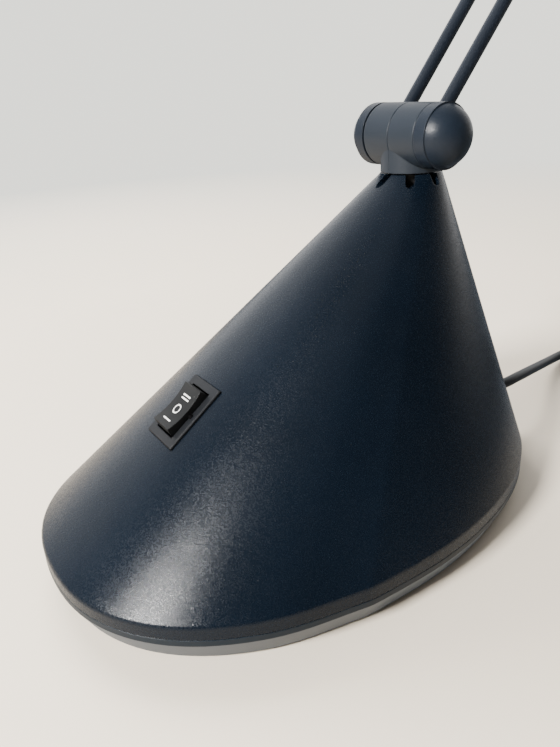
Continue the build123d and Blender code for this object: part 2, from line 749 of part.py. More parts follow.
def bowl_section(thin):
    """Solid of the bowl's form, from its open rim up to its throat."""
    depth = BOWL_TOP - BOWL_RIM
    radius = BOWL_R - thin
    throat = THROAT_R - thin
    middle = throat + (radius - throat) * 0.74
    profile = Wire([
        Line((0, BOWL_RIM), (radius, BOWL_RIM)),
        ThreePointArc((radius, BOWL_RIM), (middle, BOWL_RIM + depth * 0.52), (throat, BOWL_TOP)),
        Line((throat, BOWL_TOP), (0, BOWL_TOP)),
        Line((0, BOWL_TOP), (0, BOWL_RIM)),
    ])
    return Pos(0, LAMP_Y, 0) * revolve(Plane.XZ * Face(profile), Axis.Z)


def lamp_holder():
    holder = bar((0, LAMP_Y, BOWL_TOP), (0, LAMP_Y, BOWL_TOP + HOLDER_H), HOLDER_R)
    for x in (-CAPSULE_PIN_X, CAPSULE_PIN_X):
        holder -= bar((x, LAMP_Y, BOWL_TOP), (x, LAMP_Y, BOWL_TOP + 8), 0.5)
    return Pos(*HEAD_JOINT) * holder


def halogen_capsule():
    """Round-ended quartz capsule with a flat pinch at its foot."""
    glass = bar((0, LAMP_Y, BOWL_TOP - 18), (0, LAMP_Y, BOWL_TOP - 6), CAPSULE_R)
    glass += Pos(0, LAMP_Y, BOWL_TOP - 18) * Sphere(CAPSULE_R)
    glass += block((-4, 4), (LAMP_Y - 1.5, LAMP_Y + 1.5), (BOWL_TOP - 7, BOWL_TOP - 0.5))
    return Pos(*HEAD_JOINT) * glass


def capsule_pins():
    pins = []
    for x in (-CAPSULE_PIN_X, CAPSULE_PIN_X):
        pins.append(bar((x, LAMP_Y, BOWL_TOP - 0.5), (x, LAMP_Y, BOWL_TOP + 7), 0.45))
    return Pos(*HEAD_JOINT) * Compound(children=pins)


def front_glass():
    return Pos(*HEAD_JOINT) * bar((0, LAMP_Y, GLASS_Z), (0, LAMP_Y, GLASS_Z + GLASS_T), GLASS_R)


def glass_ring():
    low = SHADE_RIM + 1.0
    top = BOWL_RIM - PLATE_T
    wall = tube((0, LAMP_Y, low), (0, LAMP_Y, top), GLASS_R + GLASS_LIP, GLASS_R + FIT / 2)
    lip = tube((0, LAMP_Y, low), (0, LAMP_Y, GLASS_Z), GLASS_R + GLASS_LIP, GLASS_R - GLASS_LIP)
    return Pos(*HEAD_JOINT) * (wall + lip)


# Sizes that follow from the driving ones
SWITCH = switch_plane()
PAN_TOP = PAD_T + PAN_FLOOR
NUT_Z = CONE_TOP_Z - TOP_PLATE - 3.7
DRUM_R = BARREL_R - SHELL_T - 0.4
INNER_FROM = 0.7
INNER_TO = 7.5
OUTER_FROM = INNER_TO + BLOCK_GAP
STRAP_SCREWS = [(CORE_W / 2 + 7, CORE_Y), (-CORE_W / 2 - 7, CORE_Y)]
BALLAST_SCREWS = [(20.0, -90.0), (-20.0, -90.0)]
FLOOR_SCREWS = STRAP_SCREWS + BALLAST_SCREWS
GRIPS = [(STRAP_T, STRAP_SCREWS), (BALLAST_T, BALLAST_SCREWS)]
LEG_HOLE = (LEG + FIT / 2, CORE_STACK / 2 + FIT / 2)
FORMER = (LEG + 1.3, CORE_STACK / 2 + 1.3)
FLANGE = (2 * LEG - 0.2, CORE_STACK / 2 + 10)
COIL_PACK = (2 * LEG - 1.0, CORE_STACK / 2 + 9)
GLASS_R = BOWL_R + 2.0
GLASS_Z = BOWL_RIM - PLATE_T - GLASS_T - FIT / 2

nodes["base_housing"] = base_housing()
nodes["base_pan"] = base_pan()
nodes["base_pad"] = base_pad()
nodes["pan_screws"] = pan_screws()
nodes["ballast_plate"] = ballast_plate()
nodes["transformer_core"] = transformer_core()
nodes["transformer_bobbin"] = transformer_bobbin()
nodes["primary_winding"] = winding((15.5, 28.2))
nodes["secondary_winding"] = winding((29.8, 42.5))
nodes["transformer_strap"] = transformer_strap()
nodes["floor_screws"] = Compound(children=[
    floor_screw(x, y, PAN_TOP + grip) for grip, places in GRIPS for x, y in places
])
nodes["terminal_block"] = terminal_block()
block_y = sum(TERMINAL_Y) / 2
inner_run = [
    (GLAND_X, GLAND_END_Y, GLAND_Z), (GLAND_X, block_y, GLAND_Z), (GLAND_X, block_y, PAN_TOP + TERMINAL_H),
]
nodes["inner_lead"] = round_wire(inner_run, CORD_D / 2, 10)
rear_face = CORE_Y + COIL_PACK[1]
front_face = CORE_Y - COIL_PACK[1]
supply = []
for x in (-1.5, 1.5):
    climb = [(x, rear_face, 36), (x, 0, 36), (x, 0, CONE_TOP_Z - 3)]
    supply.append(round_wire(climb, WIRE_R, 3.0))
control = []
for x, y in ((6, BLADES_AT[2]), (-6, BLADES_AT[1])):
    blade = SWITCH.from_local_coords((0, y, SWITCH_DEEP - BLADE_LENGTH))
    below = SWITCH.from_local_coords((0, y, SWITCH_DEEP - BLADE_LENGTH - 13))
    feed = [blade, below, (x, front_face - 16, 22), (x, front_face, 22)]
    control.append(round_wire(feed, WIRE_R, 5.0))
nodes["inner_wires"] = Compound(children=supply + control)
nodes["switch_frame"] = switch_frame()
nodes["switch_pin"] = SWITCH * bar((-PIVOT_HALF, 0, 0), (PIVOT_HALF, 0, 0), PIVOT_R)
nodes["switch_terminals"] = switch_terminals()
nodes["rocker"] = rocker()

nodes["cord_gland"] = cord_gland()
nodes["power_cord"] = cord_tube("power cord", ROUTE)
turns, coil_end = coil_arcs()
nodes["power_cord_coil"] = cord_coil(turns, coil_end)
tail_top = coil_end - Vector(0, CORD_D, 0)
drop = tail_top.Z - PLUG_AXIS_Z
first, second, third = TAIL_LENGTHS
TAIL = [
    tail_top,
    tail_top - Vector(0, first, 0),
    tail_top - Vector(0, first + second, drop),
    tail_top - Vector(0, first + second + third, drop),
]
nodes["power_cord_tail"] = cord_tube("tail", [tuple(point) for point in TAIL])
nodes["cord_tie"] = cord_tie()
nodes["plug_body"] = plug_body(tuple(TAIL[-1]))
nodes["plug_pins"] = plug_pins(tuple(TAIL[-1]))

nodes["swivel_bush"] = swivel_bush()
nodes["swivel_tube"] = swivel_tube()
nodes["swivel_washer"] = tube((0, 0, NUT_Z), (0, 0, NUT_Z + 1.5), 11.0, SWIVEL_R)
nodes["swivel_nut"] = swivel_nut()
nodes["hub_shell_left"] = hub_shell()
nodes["hub_shell_right"] = right_copy(nodes["hub_shell_left"])
nodes["hub_caps"] = Compound(children=[pivot_cap(HUB, NEAR_GROOVE), right_copy(pivot_cap(HUB, FAR_GROOVE))])
nodes["hub_axle"] = axle(HUB, BARREL_HALF + 2)
nodes["hub_axle_nut"] = axle_nut(HUB, BARREL_HALF + 2)
nodes["hub_disc_springs"] = disc_springs(HUB, BARREL_HALF + 0.3)
washer = lateral(HUB, WASHER_X[0], WASHER_X[1], COLLAR_R) - lateral(HUB, 0, BARREL_HALF, AXLE_R)
nodes["friction_washers"] = both_sides(washer)

nodes["pivot_drums"] = both_sides(pivot_drum())
nodes["lower_rods"] = both_sides(rod(HUB, LOWER_ROD_X, LOWER_DIR, ARM_LENGTH))
elbow_outer = rod_block(ELBOW, OUTER_FROM, BARREL_HALF, LOWER_ROD_X, -LOWER_DIR, AXLE_R)
nodes["elbow_outer_blocks"] = both_sides(elbow_outer)
nodes["elbow_caps"] = both_sides(pivot_cap(ELBOW, NEAR_GROOVE))
nodes["elbow_axle"] = axle(ELBOW, BARREL_HALF)
nodes["elbow_axle_nut"] = axle_nut(ELBOW, BARREL_HALF)

elbow_inner = rod_block(ELBOW, INNER_FROM, INNER_TO, UPPER_ROD_X, UPPER_DIR, AXLE_R + RUN_FIT)
head_inner = rod_block(HEAD_JOINT, INNER_FROM, INNER_TO, UPPER_ROD_X, -UPPER_DIR, AXLE_R + RUN_FIT)
nodes["elbow_inner_blocks"] = both_sides(elbow_inner)
nodes["elbow_insulator"] = insulator(ELBOW)
nodes["upper_rods"] = both_sides(rod(ELBOW, UPPER_ROD_X, UPPER_DIR, ARM_LENGTH))
nodes["head_inner_blocks"] = both_sides(head_inner)
nodes["head_insulator"] = insulator(HEAD_JOINT)

nodes["head_yoke"] = head_yoke()
nodes["head_caps"] = both_sides(pivot_cap(HEAD_JOINT, NEAR_GROOVE))
nodes["head_axle"] = axle(HEAD_JOINT, BARREL_HALF)
nodes["head_axle_nut"] = axle_nut(HEAD_JOINT, BARREL_HALF)
nodes["head_shade"] = head_shade()
nodes["reflector_plate"] = reflector_plate()
nodes["reflector"] = reflector()
nodes["lamp_holder"] = lamp_holder()
nodes["halogen_capsule"] = halogen_capsule()
nodes["capsule_pins"] = capsule_pins()
nodes["front_glass"] = front_glass()
nodes["glass_ring"] = glass_ring()

os.makedirs("parts", exist_ok=True)
for name, shape in nodes.items():
    export_step(shape, os.path.join("parts", name + ".step"))
print(len(nodes), "nodes")
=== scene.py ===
import bpy
import math
from mathutils import Matrix, Vector


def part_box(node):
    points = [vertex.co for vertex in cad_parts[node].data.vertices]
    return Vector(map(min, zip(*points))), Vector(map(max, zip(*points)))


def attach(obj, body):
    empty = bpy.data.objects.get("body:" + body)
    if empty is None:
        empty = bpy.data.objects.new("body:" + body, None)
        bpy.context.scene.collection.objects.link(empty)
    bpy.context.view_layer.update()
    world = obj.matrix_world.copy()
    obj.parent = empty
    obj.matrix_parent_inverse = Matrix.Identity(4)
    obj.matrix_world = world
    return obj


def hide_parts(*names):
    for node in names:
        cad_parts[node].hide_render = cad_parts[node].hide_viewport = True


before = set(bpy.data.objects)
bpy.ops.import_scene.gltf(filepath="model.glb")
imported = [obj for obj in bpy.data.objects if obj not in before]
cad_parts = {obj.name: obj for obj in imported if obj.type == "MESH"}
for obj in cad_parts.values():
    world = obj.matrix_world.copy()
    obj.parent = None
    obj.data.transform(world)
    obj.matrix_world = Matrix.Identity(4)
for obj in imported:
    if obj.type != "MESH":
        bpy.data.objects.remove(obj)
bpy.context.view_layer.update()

# The lamp stands on a pale table, and the eye is close to it, above the right front of the base.
# A soft box in front makes the long highlight, and a broad one and the pale room fill the shadows.
EYE = Vector((0.222757, -0.213752, 0.184971))
LOOK = Vector((-0.77591, 0.48154, -0.40754)).normalized()
EYE_UP = Vector((-0.31348, 0.26631, 0.91149)).normalized()
LENS_PIXELS = 652
FRAME_HEIGHT = 747
SENSOR = 36.0


def add(piece):
    bpy.context.scene.collection.objects.link(piece)
    return piece


camera_data = bpy.data.cameras.new("eye")
camera_data.sensor_width = SENSOR
camera_data.lens = LENS_PIXELS / FRAME_HEIGHT * SENSOR
camera = add(bpy.data.objects.new("eye", camera_data))
aim = Matrix((LOOK.cross(EYE_UP), EYE_UP, -LOOK)).transposed().to_4x4()
aim.translation = EYE
camera.matrix_world = aim
bpy.context.scene.camera = camera

DAYLIGHT = (1.0, 0.985, 0.96)


def lamp_light(name, position, target, size, watts):
    """Soft rectangular light that faces a target."""
    data = bpy.data.lights.new(name, "AREA")
    data.shape = "RECTANGLE"
    data.size, data.size_y = size
    data.energy = watts
    data.color = DAYLIGHT
    light = add(bpy.data.objects.new(name, data))
    light.location = position
    light.rotation_euler = (Vector(target) - Vector(position)).to_track_quat("-Z", "Y").to_euler()


lamp_light("window", (0.20, -1.42, 0.97), target=(0.0, -0.12, 0.03), size=(0.42, 0.16), watts=88.0)
lamp_light("skylight", (-1.25, 0.0, 1.05), target=(0.0, 0.0, 0.0), size=(0.9, 0.9), watts=50.0)
bpy.data.objects["skylight"].visible_glossy = False


def put(tree, kind, inputs=None, **settings):
    """Node in a tree. Each input is a value, or a socket that is linked to it."""
    node = tree.nodes.new(kind)
    for name, value in settings.items():
        setattr(node, name, value)
    for key, value in (inputs or {}).items():
        if isinstance(value, bpy.types.NodeSocket):
            tree.links.new(value, node.inputs[key])
        else:
            node.inputs[key].default_value = value
    return node


def new_finish(name):
    material = bpy.data.materials.new(name)
    material.use_nodes = True
    return material, material.node_tree, material.node_tree.nodes["Principled BSDF"]


def blend_colours(tree, mask, first, second):
    """Colour that goes from the first to the second as the mask goes from 0 to 1."""
    mix = put(tree, "ShaderNodeMix", {0: mask, 6: first, 7: second}, data_type="RGBA")
    return mix.outputs[2]


def spread(tree, value, low, high, start=0.0, end=1.0):
    """Value mapped from one range to another, held at its ends."""
    sockets = {"Value": value, "From Min": low, "From Max": high, "To Min": start, "To Max": end}
    return put(tree, "ShaderNodeMapRange", sockets).outputs["Result"]


def times(tree, first, second):
    return put(tree, "ShaderNodeMath", {0: first, 1: second}, operation="MULTIPLY").outputs[0]


WALL_SIDE = (-0.85, 0.53, 0.0)
WALL_FULL = 0.7
CEILING_FROM = 0.75
CEILING_FULL = 0.97
BACKDROP = (1.75, 1.74, 1.60, 1)
ROOM_DIM = (0.08, 0.08, 0.08, 1)
CEILING = (0.62, 0.62, 0.62, 1)
WALL_GLOW = (1.8, 1.8, 1.8, 1)
room = bpy.data.worlds.new("room")
room.use_nodes = True
tree = room.node_tree
way = put(tree, "ShaderNodeTexCoord").outputs["Generated"]
towards = put(tree, "ShaderNodeVectorMath", {0: way, 1: WALL_SIDE}, operation="DOT_PRODUCT").outputs["Value"]
wall_share = spread(tree, towards, 0.0, WALL_FULL)
rise = put(tree, "ShaderNodeSeparateXYZ", {"Vector": way}).outputs["Z"]
ceiling_share = spread(tree, rise, CEILING_FROM, CEILING_FULL)
above = blend_colours(tree, ceiling_share, ROOM_DIM, CEILING)
glow = blend_colours(tree, wall_share, above, WALL_GLOW)
seen = put(tree, "ShaderNodeLightPath").outputs["Is Camera Ray"]
backdrop = blend_colours(tree, seen, glow, BACKDROP)
tree.links.new(backdrop, tree.nodes["Background"].inputs["Color"])
bpy.context.scene.world = room

# Table: a broad pale top with a matt, slightly uneven finish. Far off it fades into the backdrop.
# In reflections it is dimmer, most of all behind the lamp.
TABLE_LOW = (0.82, 0.72, 0.58, 1)
TABLE_HIGH = (0.86, 0.76, 0.62, 1)
FAR_TABLE = (0.20, 0.23, 0.27, 1)
TABLE_HALF = 6.0
table_finish, tree, shader = new_finish("pale_table")
place = put(tree, "ShaderNodeTexCoord").outputs["Object"]
haze = put(tree, "ShaderNodeTexNoise", {"Vector": place, "Scale": 3.0, "Detail": 3.0}).outputs["Fac"]
tone = blend_colours(tree, haze, TABLE_LOW, TABLE_HIGH)
tree.links.new(tone, shader.inputs["Base Color"])
shader.inputs["Roughness"].default_value = 0.65
distance = put(tree, "ShaderNodeVectorMath", {0: place}, operation="LENGTH").outputs["Value"]
behind = put(tree, "ShaderNodeSeparateXYZ", {"Vector": place}).outputs["Y"]
rays = put(tree, "ShaderNodeLightPath").outputs
surface = shader.outputs["BSDF"]
fades = (
    ("Is Camera Ray", distance, 0.4, 1.3, 0.0, BACKDROP),
    ("Is Glossy Ray", behind, 0.0, 0.15, 0.5, FAR_TABLE),
)
for ray, reach, near, far, least, colour in fades:
    haze_light = put(tree, "ShaderNodeEmission", {"Color": colour}).outputs["Emission"]
    share = times(tree, spread(tree, reach, near, far, least), rays[ray])
    surface = put(tree, "ShaderNodeMixShader", {0: share, 1: surface, 2: haze_light}).outputs["Shader"]
tree.links.new(surface, tree.nodes["Material Output"].inputs["Surface"])
table_mesh = bpy.data.meshes.new("table")
corners = [(-TABLE_HALF, -TABLE_HALF, 0), (TABLE_HALF, -TABLE_HALF, 0), (TABLE_HALF, TABLE_HALF, 0)]
table_mesh.from_pydata(corners + [(-TABLE_HALF, TABLE_HALF, 0)], [], [(0, 1, 2, 3)])
table_mesh.materials.append(table_finish)
add(bpy.data.objects.new("table", table_mesh))

# Base shell: the hollow cone and the pan below it are injection moulded in blue-black plastic.
# The tool was spark eroded, so the skin has a fine pitted grain. Four screws from below close it.
FLOAT = "NodeSocketFloat"
VECTOR = "NodeSocketVector"


def shader_group(name, inputs, outputs):
    """Empty shader group with its sockets: the tree, what it is given and what it puts out."""
    tree = bpy.data.node_groups.new(name, "ShaderNodeTree")
    for label, value in inputs.items():
        socket = tree.interface.new_socket(label, in_out="INPUT", socket_type=FLOAT)
        socket.default_value = value
    for label, kind in outputs.items():
        tree.interface.new_socket(label, in_out="OUTPUT", socket_type=kind)
    return tree, tree.nodes.new("NodeGroupInput").outputs, tree.nodes.new("NodeGroupOutput").inputs


grain_outputs = {"Height": FLOAT, "Cloud": FLOAT, "Spark": FLOAT}
spark_grain, given, out = shader_group("spark_grain", {"Scale": 2600.0}, grain_outputs)
place = put(spark_grain, "ShaderNodeTexCoord").outputs["Object"]
pit_inputs = {"Vector": place, "Scale": given["Scale"]}
pits = put(spark_grain, "ShaderNodeTexVoronoi", pit_inputs).outputs
fine = put(spark_grain, "ShaderNodeTexNoise", {**pit_inputs, "Detail": 2.0}).outputs["Fac"]
facet = put(spark_grain, "ShaderNodeSeparateColor", {"Color": pits["Color"]}).outputs["Red"]
cloud = put(spark_grain, "ShaderNodeTexNoise", {"Vector": place, "Scale": 16.0, "Detail": 5.0}).outputs["Fac"]
spark_grain.links.new(times(spark_grain, pits["Distance"], fine), out["Height"])
spark_grain.links.new(facet, out["Spark"])
spark_grain.links.new(spread(spark_grain, cloud, 0.32, 0.68), out["Cloud"])

rubbed_edges, given, out = shader_group("rubbed_edges", {"Radius": 0.0006}, {"Edge": FLOAT, "Normal": VECTOR})
rounded = put(rubbed_edges, "ShaderNodeBevel", {"Radius": given["Radius"]}, samples=4).outputs["Normal"]
flat = put(rubbed_edges, "ShaderNodeNewGeometry").outputs["Normal"]
likeness = put(rubbed_edges, "ShaderNodeVectorMath", {0: rounded, 1: flat}, operation="DOT_PRODUCT")
place = put(rubbed_edges, "ShaderNodeTexCoord").outputs["Object"]
patchy = put(rubbed_edges, "ShaderNodeTexNoise", {"Vector": place, "Scale": 190.0, "Detail": 4.0})
sharp = spread(rubbed_edges, likeness.outputs["Value"], 0.985, 0.84)
worn = spread(rubbed_edges, patchy.outputs["Fac"], 0.38, 0.62, 0.25, 1.0)
rubbed_edges.links.new(times(rubbed_edges, sharp, worn), out["Edge"])
rubbed_edges.links.new(rounded, out["Normal"])

settled_dust, given, out = shader_group("settled_dust", {"Specks": 420.0}, {"Dust": FLOAT})
space = put(settled_dust, "ShaderNodeTexCoord").outputs
rise = put(settled_dust, "ShaderNodeSeparateXYZ", {"Vector": space["Normal"]}).outputs["Z"]
lying = spread(settled_dust, rise, 0.1, 0.9, 0.15, 1.0)
drift = put(settled_dust, "ShaderNodeTexNoise", {"Vector": space["Object"], "Scale": 55.0, "Detail": 6.0})
film = spread(settled_dust, drift.outputs["Fac"], 0.42, 0.8, 0.0, 0.06)
speck_inputs = {"Vector": space["Object"], "Scale": given["Specks"]}
specks = put(settled_dust, "ShaderNodeTexVoronoi", speck_inputs)
dot = spread(settled_dust, specks.outputs["Distance"], 0.10, 0.05)
chance = put(settled_dust, "ShaderNodeSeparateColor", {"Color": specks.outputs["Color"]}).outputs["Red"]
kept = spread(settled_dust, chance, 0.88, 0.92)
speck = times(settled_dust, dot, kept)
either = put(settled_dust, "ShaderNodeMath", {0: film, 1: speck}, operation="MAXIMUM")
settled_dust.links.new(times(settled_dust, either.outputs[0], lying), out["Dust"])

DUST_GREY = (0.42, 0.41, 0.39, 1)
CLOUD_TONES = (0.86, 1.14)
RUBBED_TONE = 3.2
GLOSS_DRIFT = (-0.02, 0.03)


def lighter(colour, factor):
    return tuple(min(1.0, part * factor) for part in colour[:3]) + (1.0,)


def moulding(
    name, colour, roughness, grain=2600.0, depth=0.00005, dust=0.35, rub=0.4, edge=0.0006, shine=0.5,
    spark=0.0,
):
    """Moulded plastic: pitted grain, slow changes of tone, paler rubbed edges and settled dust."""
    material, tree, shader = new_finish(name)
    skin = put(tree, "ShaderNodeGroup", {"Scale": grain}, node_tree=spark_grain).outputs
    edges = put(tree, "ShaderNodeGroup", {"Radius": edge}, node_tree=rubbed_edges).outputs
    dirt = put(tree, "ShaderNodeGroup", node_tree=settled_dust).outputs["Dust"]
    low, high = (lighter(colour, factor) for factor in CLOUD_TONES)
    tone = blend_colours(tree, skin["Cloud"], low, high)
    tone = blend_colours(tree, times(tree, edges["Edge"], rub), tone, lighter(colour, RUBBED_TONE))
    tone = blend_colours(tree, times(tree, dirt, dust), tone, DUST_GREY)
    tree.links.new(tone, shader.inputs["Base Color"])
    low, high = (roughness + drift - spark for drift in GLOSS_DRIFT)
    gloss = spread(tree, skin["Cloud"], 0.0, 1.0, low, high)
    glint = times(tree, skin["Spark"], 2 * spark)
    gloss = put(tree, "ShaderNodeMath", {0: gloss, 1: glint}).outputs[0]
    shader.inputs["Specular IOR Level"].default_value = shine
    tree.links.new(gloss, shader.inputs["Roughness"])
    relief = {"Height": skin["Height"], "Normal": edges["Normal"], "Strength": 1.0, "Distance": depth}
    tree.links.new(put(tree, "ShaderNodeBump", relief).outputs["Normal"], shader.inputs["Normal"])
    return material


def dress(material, *names):
    for name in names:
        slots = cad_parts[name].material_slots
        for slot in slots:
            slot.material = material


shell_finish = moulding(
    "spark_textured_shell", (0.0024, 0.0050, 0.0096), 0.23, grain=2300.0, depth=0.00008, dust=0.05, rub=0.2,
    shine=0.24, spark=0.08,
)
dress(shell_finish, "base_housing")

# Base pan: the moulded floor of the base, which carries the weight and the transformer.
# Its upper edge is painted lighter than the shell, as painted light on its rim.
# The skirt that draws in below it is painted light grey: a painted reflection of the pale table.
SKIRT_TOP = 0.0105
SKIRT_EDGE = 0.0002
SKIRT_TABLE_REFLECTION = (0.076, 0.086, 0.098, 1)
# The pan's colour is lighter than the shell's blue-black: painted light on the rim band.
pan_finish = moulding(
    "pan_moulding", (0.0050, 0.0095, 0.0150), 0.36, grain=2200.0, depth=0.00003, dust=0.1, shine=0.3
)
tree = pan_finish.node_tree
colour_in = tree.nodes["Principled BSDF"].inputs["Base Color"]
place = put(tree, "ShaderNodeTexCoord").outputs["Object"]
height = put(tree, "ShaderNodeSeparateXYZ", {"Vector": place}).outputs["Z"]
# Below the skirt's top edge the colour turns light grey: a painted reflection of the pale table.
skirt_reflection_mask = spread(tree, height, SKIRT_TOP, SKIRT_TOP - SKIRT_EDGE)
tree.links.new(blend_colours(tree, skirt_reflection_mask, colour_in.links[0].from_socket, SKIRT_TABLE_REFLECTION), colour_in)
dress(pan_finish, "base_pan")

# Mains lead: a round two-core lead in soft dark sheathing, which leaves the back of the base,
# falls to the table and is wound up in a flat coil of two layers, held by a nylon strap.
LEAD_D = 0.0056
LEAD_RUN = [
    (0.0105, 0.0585, 0.0246), (0.0105, 0.067, 0.0246), (0.0079, 0.078, 0.0234), (0.0032, 0.092, 0.0204),
    (-0.0029, 0.107, 0.0164), (-0.0091, 0.122, 0.0122), (-0.0147, 0.137, 0.0086), (-0.0192, 0.152, 0.0059),
    (-0.0222, 0.166, 0.0044), (-0.0242, 0.180, 0.0038), (-0.029, 0.197, 0.0038), (-0.0365, 0.214, 0.0038),
    (-0.0428, 0.229, 0.0038), (-0.046, 0.243, 0.0038), (-0.046, 0.2564, 0.0038),
]
COIL_START = (-0.046, 0.262, 0.0038)
COIL_R = 0.0440
COIL_PITCH = 0.0061
COIL_HALVES = 7
HALF_TURN_POINTS = 7
SPLINE_SHRINK = 0.975
LEAD_TAIL = [
    (0.0481, 0.2564, 0.0099), (0.0481, 0.2484, 0.0099), (0.0481, 0.2394, 0.007), (0.0481, 0.2280, 0.007),
]


def coil_points():
    """Control points of half turns that spiral in, climb one layer and spiral out again."""
    x, y, level = COIL_START
    radii = [COIL_R - COIL_PITCH / 2 * k for k in range(COIL_HALVES)]
    halves = [(radius, 0.0) for radius in radii]
    halves += [(radii[-1] - COIL_PITCH / 2, COIL_PITCH)]
    halves += [(radius, 0.0) for radius in reversed(radii)]
    points = []
    side = 1
    for radius, rise in halves:
        reach = side * radius / SPLINE_SHRINK
        for k in range(HALF_TURN_POINTS):
            share = (k + 0.5) / HALF_TURN_POINTS
            angle = math.pi * share
            across = x + side * radius - reach * math.cos(angle)
            points.append((across, y + reach * math.sin(angle), level + rise * share))
        x += side * 2 * radius
        level += rise
        side = -side
    return points


def spline_curve(name, points, radius):
    """Smooth quadratic spline through a route, as a round tube."""
    curve = bpy.data.curves.new(name, "CURVE")
    curve.dimensions = "3D"
    spline = curve.splines.new("NURBS")
    spline.points.add(len(points) - 1)
    for point, place in zip(spline.points, points):
        point.co = (*place, 1.0)
    spline.order_u = 3
    spline.use_endpoint_u = True
    spline.resolution_u = 8
    curve.bevel_depth = radius
    curve.bevel_resolution = 4
    curve.use_fill_caps = True
    return curve


sheath = moulding(
    "lead_sheath", (0.008, 0.010, 0.012), 0.46, grain=900.0, depth=0.00002, dust=0.05, rub=0.0, shine=0.25
)
lead_curve = spline_curve("mains_lead", LEAD_RUN + coil_points() + LEAD_TAIL, LEAD_D / 2)
lead_curve.materials.append(sheath)
lead = add(bpy.data.objects.new("mains_lead", lead_curve))
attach(lead, "base")
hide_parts("power_cord", "power_cord_coil", "power_cord_tail")

# Lead boot: a soft ribbed sleeve that grips the hole in the rear wall and tapers along the lead.
# It is moulded with the lead in the same dark compound.
BOOT_SIDES = 40
BOOT_PROFILE = [
    (0.0415, 0.0066), (0.0443, 0.0066), (0.0445, 0.0045), (0.0530, 0.0045), (0.0540, 0.0049),
    (0.0552, 0.0049), (0.0556, 0.0041), (0.0566, 0.0041), (0.0570, 0.0044), (0.0582, 0.0044),
    (0.0586, 0.0037), (0.0596, 0.0037), (0.0600, 0.0039), (0.0612, 0.0036), (0.0616, 0.0028),
]
BOOT_RUN_END = 0.09
BOOT_EDGE = 0.00025
bare = lead_curve.copy()
bare.bevel_depth = 0.0
probe = add(bpy.data.objects.new("lead_line", bare))
line = bpy.data.meshes.new_from_object(probe.evaluated_get(bpy.context.evaluated_depsgraph_get()))
first_run = [vertex.co.copy() for vertex in line.vertices if vertex.co.y < BOOT_RUN_END]
bpy.data.objects.remove(probe)


def lead_middle(y):
    """Centre of the lead at a distance behind the swivel, straight on through the wall."""
    before = first_run[0]
    for point in first_run[1:]:
        if before.y <= y <= point.y:
            return before.lerp(point, (y - before.y) / (point.y - before.y))
        before = point
    return Vector((first_run[0].x, y, first_run[0].z))


def lathe_mesh(name, stations):
    """Closed tube through rings of (centre, radius), each ring across Y."""
    vertices = []
    for centre, radius in stations:
        for k in range(BOOT_SIDES):
            angle = 2 * math.pi * k / BOOT_SIDES
            vertices.append(centre + Vector((radius * math.sin(angle), 0, radius * math.cos(angle))))
    faces = []
    for row in range(len(stations) - 1):
        for k in range(BOOT_SIDES):
            here = row * BOOT_SIDES + k
            beside = row * BOOT_SIDES + (k + 1) % BOOT_SIDES
            faces.append((here, beside, beside + BOOT_SIDES, here + BOOT_SIDES))
    faces.append(tuple(reversed(range(BOOT_SIDES))))
    faces.append(tuple(range(len(vertices) - BOOT_SIDES, len(vertices))))
    mesh = bpy.data.meshes.new(name)
    mesh.from_pydata(vertices, [], faces)
    return mesh


boot_mesh = lathe_mesh("lead_boot", [(lead_middle(y), radius) for y, radius in BOOT_PROFILE])
boot_mesh.materials.append(moulding("boot_rubber", (0.019, 0.021, 0.026), 0.55, grain=1400.0, rub=0.15))
boot = add(bpy.data.objects.new("lead_boot", boot_mesh))
soften = boot.modifiers.new("soft_edges", "BEVEL")
soften.width = BOOT_EDGE
soften.segments = 2
for face in boot_mesh.polygons:
    face.use_smooth = True
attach(boot, "base")
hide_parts("cord_gland")

# Plug: a flat two-pin body moulded on to the lead, with finger ribs across its upper face.
# The pins are nickel-plated brass, solid and round. A nylon strap ties the coil.
TREE_SOCKETS = {"float": FLOAT, "int": "NodeSocketInt", "vector": VECTOR}


def geometry_tree(name, inputs):
    """Empty geometry tree with named inputs: the tree, what it is given and its last socket."""
    tree = bpy.data.node_groups.new(name, "GeometryNodeTree")
    tree.is_modifier = True
    for label, kind in inputs.items():
        tree.interface.new_socket(label, in_out="INPUT", socket_type=TREE_SOCKETS[kind])
    tree.interface.new_socket("Geometry", in_out="OUTPUT", socket_type="NodeSocketGeometry")
    given = tree.nodes.new("NodeGroupInput").outputs
    return tree, given, tree.nodes.new("NodeGroupOutput").inputs["Geometry"]


def grown(name, tree, values, material):
    """Piece that a geometry tree makes, as a plain mesh at the origin."""
    mesh = bpy.data.meshes.new(name)
    piece = add(bpy.data.objects.new(name, mesh))
    modifier = piece.modifiers.new("maker", "NODES")
    modifier.node_group = tree
    for socket in tree.interface.items_tree:
        if socket.in_out == "INPUT":
            modifier[socket.identifier] = values[socket.name]
    result = bpy.data.meshes.new_from_object(piece.evaluated_get(bpy.context.evaluated_depsgraph_get()))
    piece.modifiers.remove(modifier)
    piece.data = result
    result.materials.clear()
    result.materials.append(material)
    return piece


